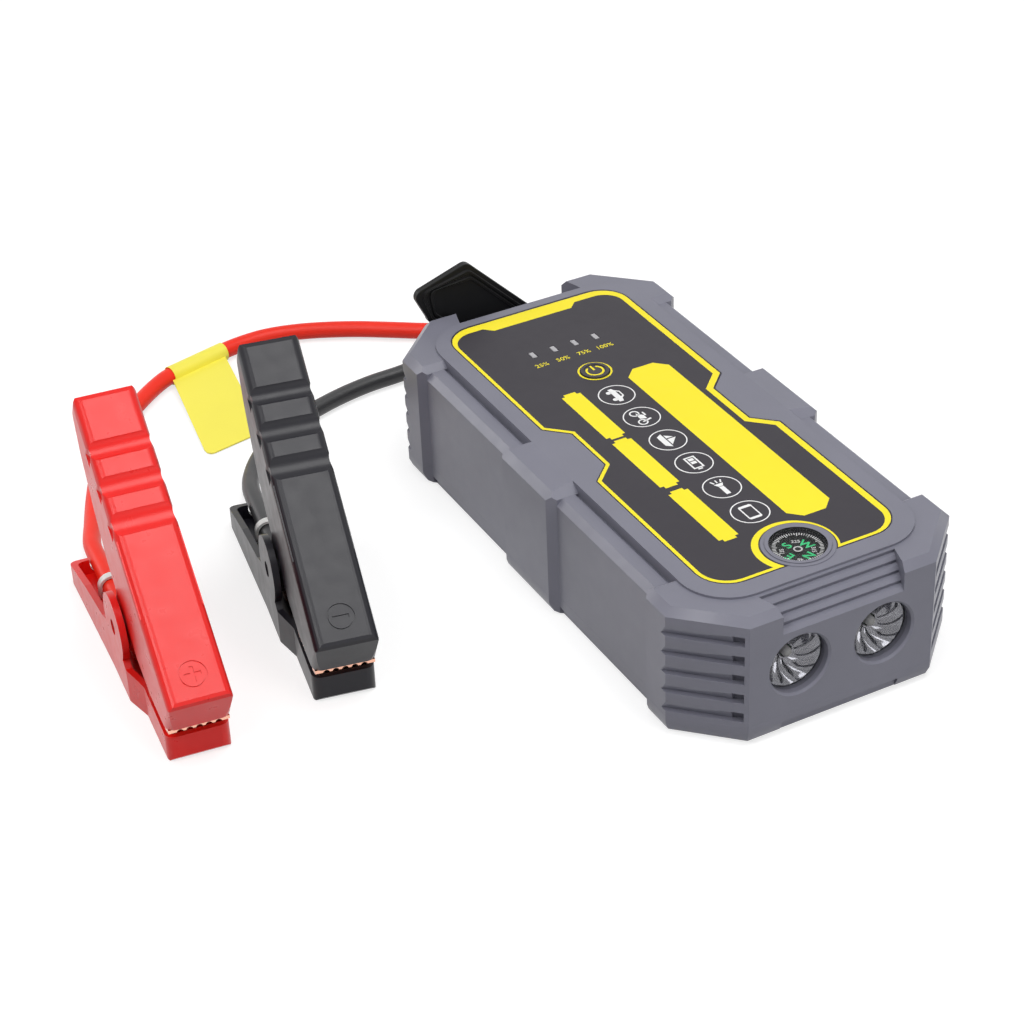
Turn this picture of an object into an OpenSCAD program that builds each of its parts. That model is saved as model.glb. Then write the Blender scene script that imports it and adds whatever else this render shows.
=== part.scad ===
// Jump starter pack with two lamps, a compass and a pair of battery clamps
// Millimetres. +Z is up, the lamps look along -Y and the sockets face +Y.

/* [Case] */
// Width over the corner bumpers
case_w = 102; // [96:1:114]
// Length
case_l = 210; // [200:1:230]
// Height at the top panel
case_h = 47; // [45:0.5:54]
// Cut of the four corners, seen from above
corner_cut = 18; // [16:0.5:20]
// How far the side walls lie inside the bumpers
side_recess = 2.6; // [1.6:0.1:3.2]
// Length of the raised band across the middle of each side
band_l = 29; // [24:1:40]
// Length of the flat part of a bumper along the side
bumper_len = 11; // [8:0.5:16]
// Side wall thickness
wall = 2.8; // [2.2:0.1:3.2]
// Height of the joint between the top case and the base
seam_z = 7; // [6.5:0.5:9]
// Drop of the bumper tops below the top panel
panel_step = 0.8; // [0.4:0.1:1.2]
// Grooves in each corner bumper
groove_n = 5; // [3:1:5]
// Depth of those grooves
groove_depth = 1.8; // [1:0.1:2]

/* [Lamps and compass] */
// Radius of a lamp opening
lamp_r = 10.4; // [8:0.1:11]
// Distance between the lamp centres
lamp_pitch = 30.2; // [26:0.2:34]
// Height of the lamp centres
lamp_z = 24; // [20:0.5:25]
// How far the lamp lenses lie inside the end face
lamp_recess = 2.5; // [1:0.1:3]
// Radius of the compass bezel
compass_r = 10.2; // [9:0.1:10.8]
// Distance of the compass from the lamp end
compass_back = 25; // [24:0.5:30]

/* [Power button and charge lights] */
// Radius of the button cap
button_r = 4.9; // [4:0.1:6]
// Travel of the button
button_travel = 0.6; // [0.3:0.1:0.8]
// Gap round the button cap
button_gap = 0.2; // [0.1:0.05:0.4]
// Distance between the charge lights
led_pitch = 8.1; // [6:0.1:9]

/* [Sockets and cover] */
// Width of a USB socket
usb_w = 13.2; // [13:0.1:13.6]
// Thickness of the rubber cover
cover_t = 2.5; // [2:0.1:3]
// Length of the rubber cover from its pin
cover_l = 57; // [50:0.5:58]
// Half the height of the rubber cover
cover_half = 12.4; // [11:0.1:13]
// Pin that the cover turns on, diameter
cover_pin_d = 4; // [3:0.1:4.4]
// How far the cover is turned up
cover_open = 45; // [0:1:60]

/* [Clamps] */
// Length of a clamp half
clamp_l = 106; // [104:0.5:110]
// Width of a clamp
clamp_w = 20; // [20:0.1:24]
// Clamp wall thickness
clamp_wall = 2.2; // [1.8:0.1:2.4]
// Angle between the handles at rest
handle_angle = 34; // [33.5:0.1:34.5]
// Pivot rivet diameter
rivet_d = 5.2; // [4.4:0.1:5.6]
// Radial clearance of the turning fits
turn_clear = 0.05; // [0.02:0.01:0.1]
// Spring wire diameter
spring_wire = 1.5; // [1.2:0.1:1.6]
// Mean radius of the spring coil
spring_r = 5.5; // [5:0.1:5.8]

/* [Cables] */
// Cable diameter
cable_d = 6.2; // [5:0.1:6.4]
// Sides of the cable tube
cable_sides = 10; // [8:1:12]

/* [Hidden] */
hw = case_w / 2;
hl = case_l / 2;
h = case_h;
seat = 0.3;          // gap at a seat
through = 12;        // length of the cuts that pass right through a wall
side_x = hw - side_recess;
rim_w = 10.5;        // from the bumper face to the top panel
top_w = hw - rim_w;
top_l = hl - rim_w;
top_r = 16.5;
rim_z = h - panel_step;
edge_cut = 2.5;
dia = (hw + hl - corner_cut) / sqrt(2);
band = band_l / 2;
bumper_y = hl - corner_cut - bumper_len;
flat_w = hw - corner_cut;
stair_w = 21.5;
stair_drop = 9.8;
cav_x = side_x - wall;
cav_y = hl - 6;
cav_dia = dia - groove_depth - 3.6;
cav_cut = cav_x + cav_y - cav_dia * sqrt(2);
cav_z = h - 7.8;
sky_x = hw - 13.6;
sky_y = hl - 13.3;
sky_z = h - 2.6;
floor_z = 3.2;
foot_z = 1.2;        // height of the raised parts of the underside
boss = [hw - 15, hl - 19];
boss_r = 4;
screw_r = 1.4;
screw_l = 18;
board_t = 1.6;
board_z = h - 10.6;
cell_gap = 0.3;
cell_t = (board_z - 1 - floor_z) / 3 - cell_gap;
cell_l = case_l - 54;
cell_w = case_w - 22;
lamp_x = lamp_pitch / 2;
compass = [0, -(hl - compass_back)];
compass_rise = 0.5;    // the bezel stands this far above the panel
compass_deep = 7.2;    // depth of the housing under the panel
compass_floor = 6;     // depth of its inside
glass_seat = 1;        // depth of the ledge that the glass lies on
button = [-1, 41.3];
label_w = 34.4;
label_waist = 27.2;
label_r = 11;
led_x = [-13.6, -13.6 + led_pitch, -13.6 + 2 * led_pitch, -13.6 + 3 * led_pitch];
led_y = 61.7;
board_y = [-(hl - 49), hl - 20];
board_hole_front = 6;  // from the front edge of the board to its holes
board_hole_rear = 55;  // from the rear edge of the board to its holes
board_w = case_w - 44;
cell_tab = 8;
cell_tab_l = 10;
link_t = 0.8;
cell_tab_x = [-18, 10];
lamp_board_w = lamp_pitch + 2 * lamp_r + 3;
lamp_board_h = 2 * lamp_r + 1.2;
lamp_depth = lamp_recess + 10.9;     // from the end face back to the lamp board
led_r = 1.6;
port_z = 19.5;
niche_d = 2;
cover_at = [10.5, port_z];
socket_x = flat_w - 8.5;
usb_x = -4.5;
usb_dz = 5.2;
charge_x = -21;
cover_y = hl + 2.2;
lead_dx = 3.8;
plug_end = hl + 10;
boot_end = hl + 18;

// Clamps: where the rear end stands, and the heading in degrees from -Y
red_at = [-163.8, 82.9, -6.6];
black_at = [-105.3, 85, -11.2];
cw = clamp_w / 2;
cin = cw - clamp_wall;
up_w = cw + 0.1;
up_in = up_w - clamp_wall;
ear_step = 0.3;        // the upper ears stand this far inward of the handle's walls
ear_in = up_w + 0.35;
ear_out = ear_in + 2.65;
tail_w = ear_out + 1.2;
front_l = clamp_l + 1.5;
pivot_s = 60.5;
pivot_z = 20.5;
pivot_u = 62.8;
pivot_v = 37;
ear_r = 11.2;
grip_depth = 1.3;
shell_t = 2.4;
jaw_base = 5;
bite_z = 11.1;
tooth = 1.1;
tooth_p = 2.5;
jaw_gap = 0.4;
lip_z = 13.8;        // just under the front lip of the upper shell
floor_t = 2;
cable_l = -4.3;
jaw_w = 2 * cin - 0.6;
cable_r = cable_d / 2;
cable_z = floor_t + cable_r + 0.35;
lug_s = 48;

// Spring: the coil starts at the lower leg and ends at the upper leg
coil_from = -68;
coil_to = 1090;
coil_pitch = 2.25;
coil_half = coil_pitch * (coil_to - coil_from) / 720;
coil_step = 45;
coil_gap = coil_pitch - spring_wire;
echo(least_gap_between_spring_curls_mm = coil_gap);

// A point of a clamp in the frame of the whole: along, across, up
function clamp_pt(c, s, l, z) = [
    c[0] + s * sin(c[2]) + l * cos(c[2]),
    c[1] - s * cos(c[2]) + l * sin(c[2]),
    z
];

// Free cables, from the boot to the clamp
red_route = [
    [socket_x + lead_dx, boot_end + 0.1, port_z],
    [socket_x + lead_dx, boot_end + 2, port_z],
    [socket_x + lead_dx, boot_end + 4, port_z],
    [27.3, 133.5, 16.5],
    [24, 140.5, 11],
    [17.5, 148, 6.5],
    [7, 156.5, 4.2],
    [-7.6, 167, 3.6],
    [-26, 180, 3.6],
    [-44, 189.5, 3.6],
    [-60, 193.8, 3.6],
    [-74, 192.9, 3.6],
    [-82, 190.8, 3.6],
    [-90, 188.7, 3.6],
    [-98, 186.6, 3.6],
    [-105, 184, 3.6],
    [-117, 175, 3.6],
    [-134, 159, 3.4],
    [-145.5, 142, 3.4],
    [-154.5, 124, 3.4],
    [-162, 106, 3.8],
    clamp_pt(red_at, -9, cable_l, 5),
    clamp_pt(red_at, 6, cable_l, cable_z),
    clamp_pt(red_at, 27, cable_l, cable_z),
    clamp_pt(red_at, lug_s, cable_l, cable_z)
];
black_route = [
    [socket_x - lead_dx, boot_end + 0.1, port_z],
    [socket_x - lead_dx, boot_end + 2, port_z],
    [socket_x - lead_dx, boot_end + 4, port_z],
    [18.5, 134, 16],
    [11, 141, 10.5],
    [0, 144.5, 6],
    [-13, 144, 3.8],
    [-27, 142.3, 3.3],
    [-38, 141.8, 3.3],
    [-50, 140, 3.3],
    [-64, 136, 3.3],
    [-80, 129, 3.3],
    [-94, 118, 3.3],
    [-103, 106, 3.7],
    clamp_pt(black_at, -9, cable_l, 5),
    clamp_pt(black_at, 6, cable_l, cable_z),
    clamp_pt(black_at, 27, cable_l, cable_z),
    clamp_pt(black_at, lug_s, cable_l, cable_z)
];
tag_from = [-77.5, 192, 3.6];
tag_to = [-101.5, 185.7, 3.6];
tag_lean = 3.5;

$fn = 64;

// ---------- outlines and tubes ----------

// Quarter circle of points for the corner of an outline
function corner(x, y, r, from) = [
    for (i = [0 : 6]) [x + r * cos(from + 15 * i), y + r * sin(from + 15 * i)]
];

function unit(v) = v / norm(v);

function along(p, i) = unit(p[min(i + 1, len(p) - 1)] - p[max(i - 1, 0)]);

// One side vector per point, carried along without twisting
function sides(p, i, s) =
    i == len(p) ? [] :
    let (t = along(p, i), n = unit(s - (s * t) * t))
    concat([n], sides(p, i + 1, n));

// Each span of the route gets one point more, on a smooth curve
function middle(p, i) =
    let (
        a = p[i],
        b = p[i + 1],
        before = i == 0 ? 2 * a - b : p[i - 1],
        after = i + 2 > len(p) - 1 ? 2 * b - a : p[i + 2]
    )
    (9 * (a + b) - before - after) / 16;

function smooth(p) = [
    for (i = [0 : 2 * len(p) - 2])
        i % 2 == 0 ? p[i / 2] : middle(p, (i - 1) / 2)
];

module tube(p, r, n) {
    s = sides(p, 0, [0.02, 0.03, 1]);
    m = len(p);
    points = [
        for (i = [0 : m - 1])
            let (t = along(p, i), u = s[i], v = cross(t, u))
            for (k = [0 : n - 1])
                p[i] + r * (cos(360 * k / n) * u + sin(360 * k / n) * v)
    ];
    skin = [
        for (i = [0 : m - 2])
            for (k = [0 : n - 1])
                let (j = (k + 1) % n)
                [i * n + k, (i + 1) * n + k, (i + 1) * n + j, i * n + j]
    ];
    start = [for (k = [0 : n - 1]) k];
    finish = [for (k = [n - 1 : -1 : 0]) (m - 1) * n + k];
    polyhedron(points, concat(skin, [start], [finish]), 4);
}

// ---------- case ----------

// Section of the case: rounded foot, chamfered top edge, panel in the middle
module case_section(half, slope) {
    polygon([
        [half - 4, 0], [half - 1.2, 1.2], [half, 4],
        [half, rim_z - edge_cut], [half - edge_cut, rim_z],
        [half - (slope ? rim_w : edge_cut + panel_step), h],
        [-half + (slope ? rim_w : edge_cut + panel_step), h],
        [-half + edge_cut, rim_z], [-half, rim_z - edge_cut],
        [-half, 4], [-half + 1.2, 1.2], [-half + 4, 0]
    ]);
}

module case_envelope() {
    intersection() {
        rotate([90, 0, 0]) linear_extrude(case_l + 20, center = true) case_section(hw, true);
        rotate([90, 0, 90]) linear_extrude(case_w + 20, center = true) case_section(hl, false);
        rotate([90, 0, 45]) linear_extrude(case_l * 2, center = true) case_section(dia, false);
        rotate([90, 0, -45]) linear_extrude(case_l * 2, center = true) case_section(dia, false);
    }
}

module each_side() {
    for (mx = [0, 1])
        for (my = [0, 1])
            mirror([mx, 0, 0]) mirror([0, my, 0]) children();
}

// Side wall between the band and a bumper
module side_pocket() {
    translate([0, 0, -1]) linear_extrude(h + 4) polygon([
        [side_x, band + side_recess], [side_x, bumper_y - side_recess],
        [hw + 1, bumper_y + 1], [hw + 1, band - 1]
    ]);
    // stepped foot under that wall
    translate([side_x - 1.3, band + side_recess, -1])
        cube([10, bumper_y - band - 2 * side_recess, 4]);
}

// Lower shoulder and groove beside the top panel, with sloped ends
module shoulder_cut() {
    y0 = band + side_recess;
    y1 = bumper_y - side_recess;
    intersection() {
        rotate([90, 0, 0]) linear_extrude(case_l, center = true) polygon([
            [top_w, h + 2], [top_w, h - 4], [top_w + 1.3, h - 4], [top_w + 1.3, h - 2.8],
            [side_x - 2.2, h - 2.8], [side_x, h - 5], [side_x + 6, h - 5], [side_x + 6, h + 2]
        ]);
        rotate([90, 0, 90]) linear_extrude(case_w) polygon([
            [y0, h - 8], [y0, h - 2.8], [y0 - 6.24, h + 2],
            [y1 + 6.24, h + 2], [y1, h - 2.8], [y1, h - 8]
        ]);
    }
}

module top_panel_plan() {
    difference() {
        square([2 * top_w, 2 * top_l], center = true);
        for (mx = [0, 1])
            for (my = [0, 1])
                mirror([mx, 0]) mirror([0, my])
                    translate([top_w - top_r, top_l - top_r]) difference() {
                        square(top_r + 1);
                        circle(top_r);
                    }
    }
}

module bumper_tops() {
    difference() {
        for (e = [-1, 1])
            translate([-hw - 1, e * (hl + 2) - (e > 0 ? hl - 40 : 0), rim_z])
                cube([case_w + 2, hl - 40, 5]);
        translate([0, 0, rim_z - 1]) linear_extrude(8) top_panel_plan();
    }
}

// Slope from the top panel down to the end face; t runs from 0 to 1 down the slope
function slope_pt(t, d) =
    let (run = rim_w, n = unit([stair_drop, -run]))
    [-top_l - run * t + d * n[0], h - stair_drop * t + d * n[1]];

module end_slope(ridges) {
    cuts = ridges ? [
        for (i = [0 : 3], c = [[0.02, 0], [0.06, 1], [0.14, 0]])
            slope_pt(0.08 + 0.22 * i + c[0], c[1])
    ] : [];
    intersection() {
        rotate([90, 0, 90]) linear_extrude(case_w, center = true)
            polygon(concat(
                [slope_pt(0, 0)], cuts, [slope_pt(1.2, 0), [-hl - 4, h + 4], [-top_l, h + 4]]
            ));
        translate([0, 0, h - 20]) linear_extrude(30) polygon([
            [stair_w + 3.3, -top_l + 1], [stair_w, -hl], [stair_w - 1, -hl - 4],
            [-stair_w + 1, -hl - 4], [-stair_w, -hl], [-stair_w - 3.3, -top_l + 1]
        ]);
    }
}

// Louvred grooves across a corner, each with a pocket by the end face
module corner_grooves() {
    translate([hw - corner_cut / 2, hl - corner_cut / 2, 0]) rotate([0, 0, 45])
        for (i = [0 : groove_n - 1]) {
            z = h - 6.8 - 6.97 * i;
            translate([0, 8.7, 0]) rotate([90, 0, 0]) linear_extrude(28) polygon([
                [0.5, z + 0.5], [0, z], [-groove_depth, z - 3.5], [0.5, z - 3.5]
            ]);
            translate([-groove_depth - 0.7, 7.4, z - 3.4]) cube([4, 3.8, 3.4]);
        }
}

module cavity_plan(d) {
    x = cav_x - d;
    y = cav_y - d;
    c = cav_cut - d * 0.586;
    polygon([
        [x, -y + c], [x, y - c], [x - c, y], [-x + c, y],
        [-x, y - c], [-x, -y + c], [-x + c, -y], [x - c, -y]
    ]);
}

module case_outside() {
    difference() {
        case_envelope();
        each_side() side_pocket();
        each_side() shoulder_cut();
        bumper_tops();
        end_slope(true);
        mirror([0, 1, 0]) end_slope(false);
        each_side() corner_grooves();
    }
}

// Outline of the overlay, grown by d
module label_plan(d) {
    w = label_w + d;
    n = label_waist + d;
    s = band + 3.5 - d;
    b = top_l - 3.8 + d;
    f = compass[1] - 7.6 - d;
    r = label_r + d;
    difference() {
        polygon(concat(
            [[w, -s], [n, -s + 7.2], [n, s - 7.2], [w, s]],
            corner(w - r, b - r, r, 0), corner(-w + r, b - r, r, 90),
            [[-w, s], [-n, s - 7.2], [-n, -s + 7.2], [-w, -s]],
            corner(-w + r, f + r, r, 180), corner(w - r, f + r, r, 270)
        ));
        translate(compass) circle(compass_r + 1.5 - d);
    }
}

module led_slots(grow) {
    for (x = led_x)
        translate([x - 0.8 - grow, led_y - 1.75 - grow]) square([1.6 + 2 * grow, 3.5 + 2 * grow]);
}

module lamp_at(x) translate([x, -hl, lamp_z]) rotate([90, 0, 0]) children();

module boss_at() {
    for (x = [-1, 1])
        for (y = [-1, 1])
            translate([x * boss[0], y * boss[1], 0]) children();
}

module top_case() {
    color("slategray") difference() {
        union() {
            difference() {
                case_outside();
                translate([0, 0, -1]) cube([400, 600, 2 * seam_z + 2], center = true);
                translate([0, 0, -1]) linear_extrude(cav_z + 1) cavity_plan(0);
                translate([-sky_x, -sky_y, cav_z - 1])
                    cube([2 * sky_x, 2 * sky_y, sky_z - cav_z + 1]);
            }
            boss_at() translate([0, 0, seam_z]) cylinder(h = sky_z + 1 - seam_z, r = boss_r);
            translate([compass[0], compass[1], h - 0.5])
                cylinder(h = 0.75, r = compass_r + 1.4);
        }
        boss_at() translate([0, 0, seam_z - 1]) cylinder(h = screw_l - 1, r = screw_r + 0.02);
        // panel overlay, compass, button and lights
        translate([0, 0, h - 0.35]) linear_extrude(2) label_plan(0.15);
        translate([compass[0], compass[1], h - compass_deep - 0.8])
            cylinder(h = through, r = compass_r + 0.1);
        translate([button[0], button[1], h - 8]) cylinder(h = through, r = button_r + button_gap);
        translate([0, 0, h - 8]) linear_extrude(through) led_slots(0.1);
        // lamps
        for (x = [-lamp_x, lamp_x])
            lamp_at(x) {
                translate([0, 0, -8]) cylinder(h = through, r = lamp_r);
                translate([0, 0, -0.7]) cylinder(h = 0.8, r1 = lamp_r, r2 = lamp_r + 0.8);
            }
        // shallow field round the sockets, and the sockets
        translate([-flat_w + 1.5, hl - niche_d, port_z - 10])
            cube([2 * flat_w - 3, niche_d + 2, 20]);
        translate([socket_x - 9.1, hl - 10, port_z - 5.6]) cube([18.2, 12, 11.2]);
        for (e = [-1, 1])
            translate([usb_x - usb_w / 2 - 0.1, hl - 10, port_z + e * usb_dz - 3])
                cube([usb_w + 0.2, 12, 6]);
        translate([charge_x, hl - 10, port_z]) rotate([-90, 0, 0]) cylinder(h = 12, r = 4.6);
        translate([cover_at[0], hl - 6.5, cover_at[1]]) rotate([-90, 0, 0])
            cylinder(h = 12, r = cover_pin_d / 2 + 0.02);
    }
}

module base_cover() {
    color("dimgray") difference() {
        union() {
            difference() {
                case_outside();
                translate([-200, -300, seam_z]) cube([400, 600, 100]);
                translate([0, 0, floor_z]) linear_extrude(20) cavity_plan(0);
            }
            // locating lip inside the top case
            translate([0, 0, floor_z - 1]) linear_extrude(seam_z + 3 - floor_z) difference() {
                cavity_plan(seat);
                cavity_plan(seat + 1.5);
            }
            boss_at() translate([0, 0, floor_z - 1])
                cylinder(h = seam_z + 1 - floor_z, r = boss_r);
        }
        // raised underside between the feet and the middle band
        for (e = [0, 1]) mirror([0, e, 0]) {
            translate([-side_x + 8, band, -1])
                cube([2 * side_x - 16, bumper_y - band, foot_z + 1]);
            translate([-flat_w + 12, bumper_y - 1, -1])
                cube([2 * flat_w - 24, 60, foot_z + 1]);
            translate([-flat_w + 12, hl - 1.4, -1]) cube([2 * flat_w - 24, 20, 5.5]);
        }
        boss_at() translate([0, 0, -1]) cylinder(h = 4.2, r = 3.2);
        boss_at() translate([0, 0, -1]) cylinder(h = 12, r = screw_r + 0.1);
        // room for the bosses of the top case
        boss_at() translate([0, 0, seam_z]) cylinder(h = 6, r = boss_r + 0.4);
    }
}

module label_panel() {
    color([0.3, 0.29, 0.31]) translate([0, 0, h - 0.35]) linear_extrude(0.35) difference() {
        label_plan(0);
        translate(button) circle(button_r + button_gap + 0.3);
        led_slots(0.25);
    }
}

module power_button() {
    color([0.2, 0.2, 0.22]) translate([button[0], button[1], 0]) {
        difference() {
            translate([0, 0, sky_z - 1.2]) cylinder(h = h + 0.5 - sky_z + 1.2, r = button_r);
            translate([0, 0, h + 0.2]) cylinder(h = 2, r = button_r - 1.1);
        }
        translate([0, 0, sky_z - 1.2]) cylinder(h = 0.9, r = button_r + 1.3);
    }
}

module button_switch() {
    top = sky_z - 1.2 - button_travel - 0.1;
    color("black") translate([button[0], button[1], 0]) {
        translate([-3, -3, board_z + board_t]) cube([6, 6, top - 1 - board_z - board_t]);
        translate([0, 0, top - 1.2]) cylinder(h = 1.2, r = 1.7);
    }
}

module led_windows() {
    color([0.9, 0.95, 1, 0.6]) translate([0, 0, sky_z]) linear_extrude(h - sky_z) led_slots(0);
    color([0.9, 0.95, 1, 0.6]) translate([led_x[0] - 2, led_y - 2.5, sky_z - 0.8])
        cube([3 * led_pitch + 4, 5, 0.8]);
}

module status_leds() {
    color("white") for (x = led_x)
        translate([x - 0.8, led_y - 1.6, board_z + board_t]) cube([1.6, 3.2, 1.2]);
}

module compass_housing() {
    color([0.12, 0.12, 0.13]) translate([compass[0], compass[1], 0]) {
        difference() {
            union() {
                translate([0, 0, h - compass_deep])
                    cylinder(h = compass_deep + compass_rise, r = compass_r);
                translate([0, 0, sky_z - 1.3]) cylinder(h = 1, r = compass_r + 1);
            }
            translate([0, 0, h - compass_floor]) cylinder(h = through, r = compass_r - 1.9);
            translate([0, 0, h - glass_seat]) cylinder(h = through, r = compass_r - 1.2);
        }
    }
}

module compass_pivot() {
    color("goldenrod") translate([compass[0], compass[1], h - compass_floor]) {
        cylinder(h = 0.8, r = 2.2);
        cylinder(h = 3.1, r = 0.7);
    }
}

module compass_card() {
    color("white") translate([compass[0], compass[1], 0]) difference() {
        union() {
            translate([0, 0, h - 2.9]) cylinder(h = 0.8, r = compass_r - 2.2);
            translate([0, 0, h - 4.2]) cylinder(h = 2.7, r = 1.6);
        }
        translate([0, 0, h - 5]) cylinder(h = 2.5, r = 0.7 + turn_clear);
    }
}

module compass_lens() {
    color([0.85, 0.92, 0.95, 0.4]) translate([compass[0], compass[1], h - glass_seat])
        cylinder(h = glass_seat + 0.2, r = compass_r - 1.3);
}

module lamp_lens(x) {
    color([0.9, 0.95, 1, 0.35]) lamp_at(x) translate([0, 0, -lamp_recess - 1.4])
        cylinder(h = 1.4, r = lamp_r - 0.15);
}

module lamp_reflector(x) {
    color("silver") lamp_at(x) translate([0, 0, -lamp_recess - 9]) difference() {
        union() {
            cylinder(h = 7.2, r1 = 4.4, r2 = lamp_r - 0.3);
            translate([0, 0, 6]) cylinder(h = 1.4, r = lamp_r - 0.3);
        }
        translate([0, 0, -1]) cylinder(h = 3, r = led_r + 0.4);
        translate([0, 0, 0.8]) cylinder(h = 6.8, r1 = led_r + 0.6, r2 = lamp_r - 1.1);
    }
}

module lamp_led(x) {
    color("khaki") lamp_at(x) translate([0, 0, -lamp_depth]) {
        translate([-2.6, -2.6, 0]) cube([5.2, 5.2, 1.3]);
        translate([0, 0, 1.3]) cylinder(h = 4.6, r = led_r);
        translate([0, 0, 5.9]) sphere(led_r);
    }
}

module lamp_board() {
    color("darkgreen") translate([-lamp_board_w / 2, -hl + lamp_depth, lamp_z - lamp_board_h / 2])
        cube([lamp_board_w, board_t, lamp_board_h]);
}

module main_board() {
    color("darkgreen") difference() {
        translate([-board_w / 2, board_y[0], board_z])
            cube([board_w, board_y[1] - board_y[0], board_t]);
        for (x = [-1, 1])
            for (y = [board_y[0] + board_hole_front, board_y[1] - board_hole_rear])
                translate([x * (board_w / 2 - 4), y, board_z - 1]) cylinder(h = 4, r = 1.6);
    }
    color("dimgray") translate([6, -30, board_z + board_t]) cube([14, 14, 1.6]);
    color("dimgray") translate([-20, -10, board_z + board_t]) cube([10, 16, 2.4]);
    color("dimgray") translate([2, 4, board_z + board_t]) cube([18, 14, 3]);
}

// Flat pouch cell with two tabs; up is its number in the stack
module cell(i) {
    z = floor_z + 0.3 + i * (cell_t + cell_gap);
    color("lightsteelblue") {
        translate([0, -4, z]) rotate([90, 0, 0]) linear_extrude(cell_l - 8, center = true)
            polygon([
                [-cell_w / 2, 1.5], [-cell_w / 2 + 1.5, 0], [cell_w / 2 - 1.5, 0],
                [cell_w / 2, 1.5], [cell_w / 2, cell_t - 1.5], [cell_w / 2 - 1.5, cell_t],
                [-cell_w / 2 + 1.5, cell_t], [-cell_w / 2, cell_t - 1.5]
            ]);
        for (x = cell_tab_x)
            translate([x, cell_l / 2 - cell_tab_l, z + cell_t / 2 - 0.2])
                cube([cell_tab, cell_tab_l, 0.4]);
    }
}

module cell_links() {
    color("silver") for (x = cell_tab_x)
        translate([x - 1, cell_l / 2, floor_z + 2]) cube([cell_tab + 2, link_t, 3 * cell_t - 2]);
}

module output_socket() {
    color("royalblue") difference() {
        union() {
            translate([socket_x - 9, hl - 15, port_z - 5.5]) cube([18, 15 - niche_d, 11]);
            translate([socket_x - 11, hl - 10, port_z - 7.5]) cube([17, 3.7, 15]);
        }
        translate([socket_x - 7.8, hl - 12, port_z - 4.3]) cube([15.6, 14, 8.6]);
        for (x = [-lead_dx, lead_dx])
            translate([socket_x + x, hl - 20, port_z]) rotate([-90, 0, 0])
                cylinder(h = 12, r = 1.6);
    }
}

module output_contacts() {
    color("gold") for (x = [-lead_dx, lead_dx])
        translate([socket_x + x, hl - 17, port_z]) rotate([-90, 0, 0]) cylinder(h = 11, r = 1.6);
}

module usb_socket(e) {
    z = port_z + e * usb_dz;
    color("silver") difference() {
        translate([usb_x - usb_w / 2, hl - 15, z - 2.9]) cube([usb_w, 15 - niche_d, 5.8]);
        translate([usb_x - usb_w / 2 + 0.5, hl - 13, z - 2.4]) cube([usb_w - 1, 14, 4.8]);
    }
    color("white") translate([usb_x - usb_w / 2 + 1.2, hl - 14, z + 0.2])
        cube([usb_w - 2.4, 10, 1.6]);
}

module charge_socket() {
    color("black") translate([charge_x, hl - 14, port_z]) rotate([-90, 0, 0]) {
        difference() {
            union() {
                cylinder(h = 14 - niche_d, r = 4.5);
                translate([-5.5, -5.5, 0]) cube([11, 11, 6]);
            }
            translate([0, 0, 3]) cylinder(h = 12, r = 3);
        }
        translate([0, 0, 2]) cylinder(h = 9, r = 1);
    }
}

module cover_pin() {
    color("dimgray") translate([cover_at[0], hl - 6.5, cover_at[1]]) rotate([-90, 0, 0]) {
        cylinder(h = 8.7 + cover_t + 0.2, r = cover_pin_d / 2);
        translate([0, 0, 8.9 + cover_t]) cylinder(h = 1, r = 3.6);
        translate([0, 0, 6.5 - niche_d]) cylinder(h = niche_d + 1.9, r = 3.4);
    }
}

// Outline of the cover, d inside its edge, from the pin to the three round corners
module cover_plan(d) {
    r = 3.2;
    t = cover_half - d;
    polygon(concat(
        [[0, -4.4 + d], [4, -4.6 + d], [12, -t]],
        [for (i = [0 : 4]) [cover_l - 12 + r * sin(9.5 * i), -t + r * (1 - cos(9.5 * i))]],
        [for (i = [0 : 5])
            [cover_l - r - 1.3 * d + r * cos(15 * i - 60), -t + 6.4 + r * sin(15 * i - 60)]],
        [for (i = [0 : 4])
            [cover_l - 11 - 1.2 * d + r * cos(20 + 17.5 * i), t - r + r * sin(20 + 17.5 * i)]],
        [[12, t], [4, 4.6 - d], [0, 4.4 - d]]
    ));
}

module port_cover() {
    color([0.1, 0.1, 0.1]) translate([cover_at[0], cover_y, cover_at[1]])
        rotate([0, cover_open, 0]) rotate([90, 0, 180]) difference() {
            union() {
                cylinder(h = cover_t, r = 4.6);
                linear_extrude(cover_t) cover_plan(0);
                // two fine ridges that seal round the sockets
                for (i = [0, 1])
                    translate([0, 0, -0.8]) linear_extrude(1.2) intersection() {
                        difference() {
                            cover_plan(1.6 + 1.6 * i);
                            cover_plan(2.4 + 1.6 * i);
                        }
                        translate([13, -cover_half]) square([cover_l, 2 * cover_half]);
                    }
            }
            translate([0, 0, -through / 2]) cylinder(h = through, r = cover_pin_d / 2 + turn_clear);
        }
}

module case_screws() {
    color("dimgray") boss_at() {
        translate([0, 0, 1.4]) cylinder(h = 1.8, r = 2.9);
        translate([0, 0, 2]) cylinder(h = screw_l, r = screw_r);
    }
}

// ---------- lead ----------

module lead_plug() {
    color([0.13, 0.27, 0.6]) difference() {
        union() {
            translate([socket_x - 7.7, hl - 11.7, port_z - 4.2]) cube([15.4, 13, 8.4]);
            translate([socket_x - 8, hl - niche_d + seat, port_z - 5]) rotate([-90, 0, 0])
                translate([0, -10, 0]) linear_extrude(plug_end - hl + niche_d - seat) polygon([
                    [1.2, 0], [14.8, 0], [16, 1.2], [16, 8.8],
                    [14.8, 10], [1.2, 10], [0, 8.8], [0, 1.2]
                ]);
        }
        for (x = [-lead_dx, lead_dx])
            translate([socket_x + x, hl - 14, port_z]) rotate([-90, 0, 0])
                cylinder(h = 22, r = 2.5);
    }
}

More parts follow.
